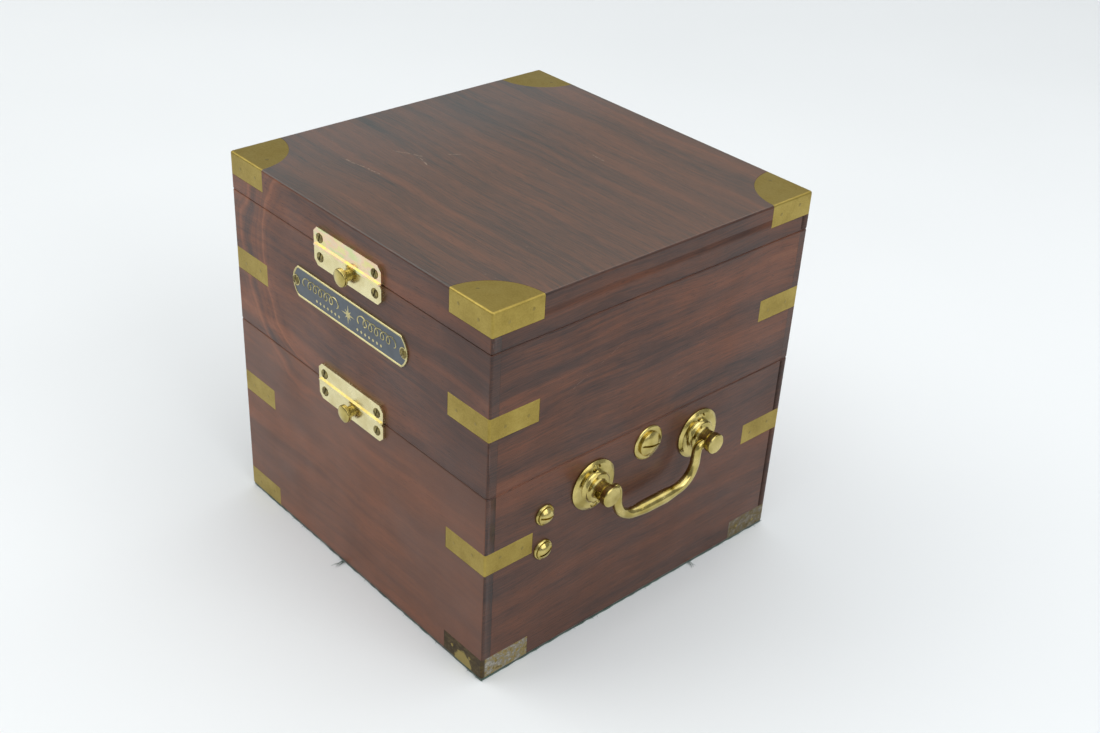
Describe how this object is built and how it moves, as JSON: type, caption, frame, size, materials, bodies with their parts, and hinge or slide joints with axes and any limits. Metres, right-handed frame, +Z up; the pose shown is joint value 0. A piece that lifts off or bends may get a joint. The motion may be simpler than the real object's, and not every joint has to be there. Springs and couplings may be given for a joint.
{
  "type": "marine chronometer",
  "caption": "Marine chronometer in a closed three-tier mahogany box with flush brass corners, push-button catches, drop handles and a gimballed bowl inside.",
  "frame": {"origin": "middle of the underside of the baize, on the surface that the box stands on", "axes": "+Z up, front with the catches towards -Y, right side with the gimbal lock screws towards +X"},
  "size_m": [0.2164, 0.2018, 0.1905],
  "materials": {
    "mahogany": "French polished mahogany, aged",
    "inlaid_brass": "satin, aged, flush with the wood",
    "polished_brass": "polished and lacquered",
    "brass_screws": "turned, aged",
    "movement_brass": "gilt, matt",
    "steel": "polished",
    "blued_steel": "fire blued",
    "window_glass": "clear",
    "bezel_glass": "clear",
    "baize": "woollen baize",
    "nameplate": "enamel with a brass border",
    "silvered_dial": "silvered, matt"
  },
  "bodies": {
    "case": {"base_boards": "mahogany", "base_bottom_board": "mahogany", "base_felt": "baize", "base_corner_straps": "inlaid_brass", "base_catch_leaf": "polished_brass", "base_screws": "brass_screws", "base_hinge_leaves": "polished_brass", "lower_button_spring": "steel", "handle_rosettes": "polished_brass", "gimbal_pivot_screws": "polished_brass", "gimbal_lock_bracket": "polished_brass", "key_holder": "mahogany"},
    "middle_tier": {"middle_boards": "mahogany", "middle_corner_straps": "inlaid_brass", "window_frame": "mahogany", "window_glass": "window_glass", "glass_beads": "mahogany", "nameplate": "nameplate", "middle_catch_leaves": "polished_brass", "middle_screws": "brass_screws", "middle_hinge_leaves": "polished_brass", "upper_button_spring": "steel"},
    "lid": {"lid_top_panel": "mahogany", "lid_boards": "mahogany", "lid_corner_caps": "inlaid_brass", "lid_catch_leaf": "polished_brass", "lid_screws": "brass_screws", "lid_hinge_leaves": "polished_brass"},
    "upper_button": {"upper_button": "polished_brass"},
    "lower_button": {"lower_button": "polished_brass"},
    "right_bail": {"right_bail": "polished_brass"},
    "left_bail": {"left_bail": "polished_brass"},
    "lock_arm": {"gimbal_lock_arm": "polished_brass"},
    "key": {"winding_key": "polished_brass"},
    "gimbal_ring": {"gimbal_ring": "polished_brass", "bowl_pivot_screws": "polished_brass"},
    "bowl": {"bowl": "polished_brass", "bezel": "polished_brass", "bezel_glass": "bezel_glass", "dial": "silvered_dial", "pillar_plate": "movement_brass", "top_plate": "movement_brass", "movement_pillars": "movement_brass", "detent": "steel", "balance_cock": "movement_brass", "chain": "steel", "balance_spring": "blued_steel"},
    "shutter": {"winding_shutter": "polished_brass"},
    "seconds_work": {"fourth_wheel": "movement_brass", "seconds_hand": "blued_steel"},
    "centre_work": {"centre_wheel": "movement_brass", "minute_hand": "blued_steel"},
    "hour_work": {"hour_hand": "blued_steel"},
    "third_work": {"third_wheel": "movement_brass"},
    "escape_work": {"escape_wheel": "movement_brass"},
    "great_work": {"great_wheel": "movement_brass"},
    "fusee": {"fusee": "movement_brass"},
    "barrel": {"barrel": "movement_brass"},
    "up_down_work": {"up_down_hand": "blued_steel"},
    "balance": {"balance": "movement_brass"}
  },
  "joints": [
    {"name": "middle_tier_opens", "type": "hinge", "parent": "case", "child": "middle_tier", "pos_m": [0, 0.09765, 0.1016], "axis": [-1, 0, 0], "range_deg": [0, 100]},
    {"name": "lid_opens", "type": "hinge", "parent": "middle_tier", "child": "lid", "pos_m": [0, 0.09765, 0.17145], "axis": [-1, 0, 0], "range_deg": [0, 105]},
    {"name": "upper_button_press", "type": "slide", "parent": "middle_tier", "child": "upper_button", "axis": [0, 1, 0], "range_m": [0, 0.002], "stiffness_N_per_m": 150, "deforming": ["upper_button_spring"]},
    {"name": "lower_button_press", "type": "slide", "parent": "case", "child": "lower_button", "axis": [0, 1, 0], "range_m": [0, 0.002], "stiffness_N_per_m": 150, "deforming": ["lower_button_spring"]},
    {"name": "right_bail_swings", "type": "hinge", "parent": "case", "child": "right_bail", "pos_m": [0.10325, 0, 0.0825], "axis": [0, -1, 0], "range_deg": [0, 100]},
    {"name": "left_bail_swings", "type": "hinge", "parent": "case", "child": "left_bail", "pos_m": [-0.10325, 0, 0.0825], "axis": [0, 1, 0], "range_deg": [0, 100]},
    {"name": "gimbal_ring_rocks", "type": "hinge", "parent": "case", "child": "gimbal_ring", "pos_m": [0, 0, 0.091], "axis": [1, 0, 0], "range_deg": [-45, 45]},
    {"name": "bowl_turns_over", "type": "hinge", "parent": "gimbal_ring", "child": "bowl", "pos_m": [0, 0, 0.091], "axis": [0, 1, 0], "range_deg": [-45, 180]},
    {"name": "lock_arm_swings", "type": "hinge", "parent": "case", "child": "lock_arm", "pos_m": [0.076, -0.066, 0.091], "axis": [0, 0, 1], "range_deg": [0, 49]},
    {"name": "key_lifts", "type": "slide", "parent": "case", "child": "key", "axis": [0, 0, 1], "range_m": [0, 0.045]},
    {"name": "shutter_turns", "type": "hinge", "parent": "bowl", "child": "shutter", "pos_m": [-0.004, 0.018, 0.091], "axis": [0, 0, 1], "range_deg": [0, 60]},
    {"name": "seconds_turns", "type": "hinge", "parent": "bowl", "child": "seconds_work", "pos_m": [0, -0.024, 0.091], "axis": [0, 0, -1], "continuous": true},
    {"name": "minutes_turn", "type": "hinge", "parent": "bowl", "child": "centre_work", "pos_m": [0, 0, 0.091], "axis": [0, 0, -1], "continuous": true},
    {"name": "hours_turn", "type": "hinge", "parent": "bowl", "child": "hour_work", "pos_m": [0, 0, 0.091], "axis": [0, 0, -1], "continuous": true},
    {"name": "third_wheel_turns", "type": "hinge", "parent": "bowl", "child": "third_work", "pos_m": [0.012, -0.016, 0.091], "axis": [0, 0, -1], "continuous": true},
    {"name": "escape_wheel_turns", "type": "hinge", "parent": "bowl", "child": "escape_work", "pos_m": [-0.011, -0.02, 0.091], "axis": [0, 0, -1], "continuous": true},
    {"name": "great_wheel_turns", "type": "hinge", "parent": "bowl", "child": "great_work", "pos_m": [-0.0173, 0.01, 0.091], "axis": [0, 0, -1], "continuous": true},
    {"name": "winding", "type": "hinge", "parent": "bowl", "child": "fusee", "pos_m": [-0.0173, 0.01, 0.091], "axis": [0, 0, 1], "range_deg": [0, 2520]},
    {"name": "barrel_turns", "type": "hinge", "parent": "bowl", "child": "barrel", "pos_m": [0.0208, 0.012, 0.091], "axis": [0, 0, 1], "range_deg": [0, 1890]},
    {"name": "up_down_turns", "type": "hinge", "parent": "bowl", "child": "up_down_work", "pos_m": [0, 0.022, 0.091], "axis": [0, 0, -1], "range_deg": [0, 270]},
    {"name": "balance_swings", "type": "hinge", "parent": "bowl", "child": "balance", "pos_m": [-0.016, -0.012, 0.091], "axis": [0, 0, 1], "range_deg": [-150, 150], "stiffness_Nm_per_rad": 0.00015, "deforming": ["balance_spring"]}
  ],
  "couplings": [
    {"joint": "minutes_turn", "follows": "seconds_turns", "ratio": 0.016667},
    {"joint": "hours_turn", "follows": "seconds_turns", "ratio": 0.0013889},
    {"joint": "third_wheel_turns", "follows": "seconds_turns", "ratio": -0.13333},
    {"joint": "escape_wheel_turns", "follows": "seconds_turns", "ratio": -8},
    {"joint": "great_wheel_turns", "follows": "seconds_turns", "ratio": -0.0020833},
    {"joint": "barrel_turns", "follows": "winding", "ratio": 0.75},
    {"joint": "up_down_turns", "follows": "winding", "ratio": 0.10714}
  ]
}
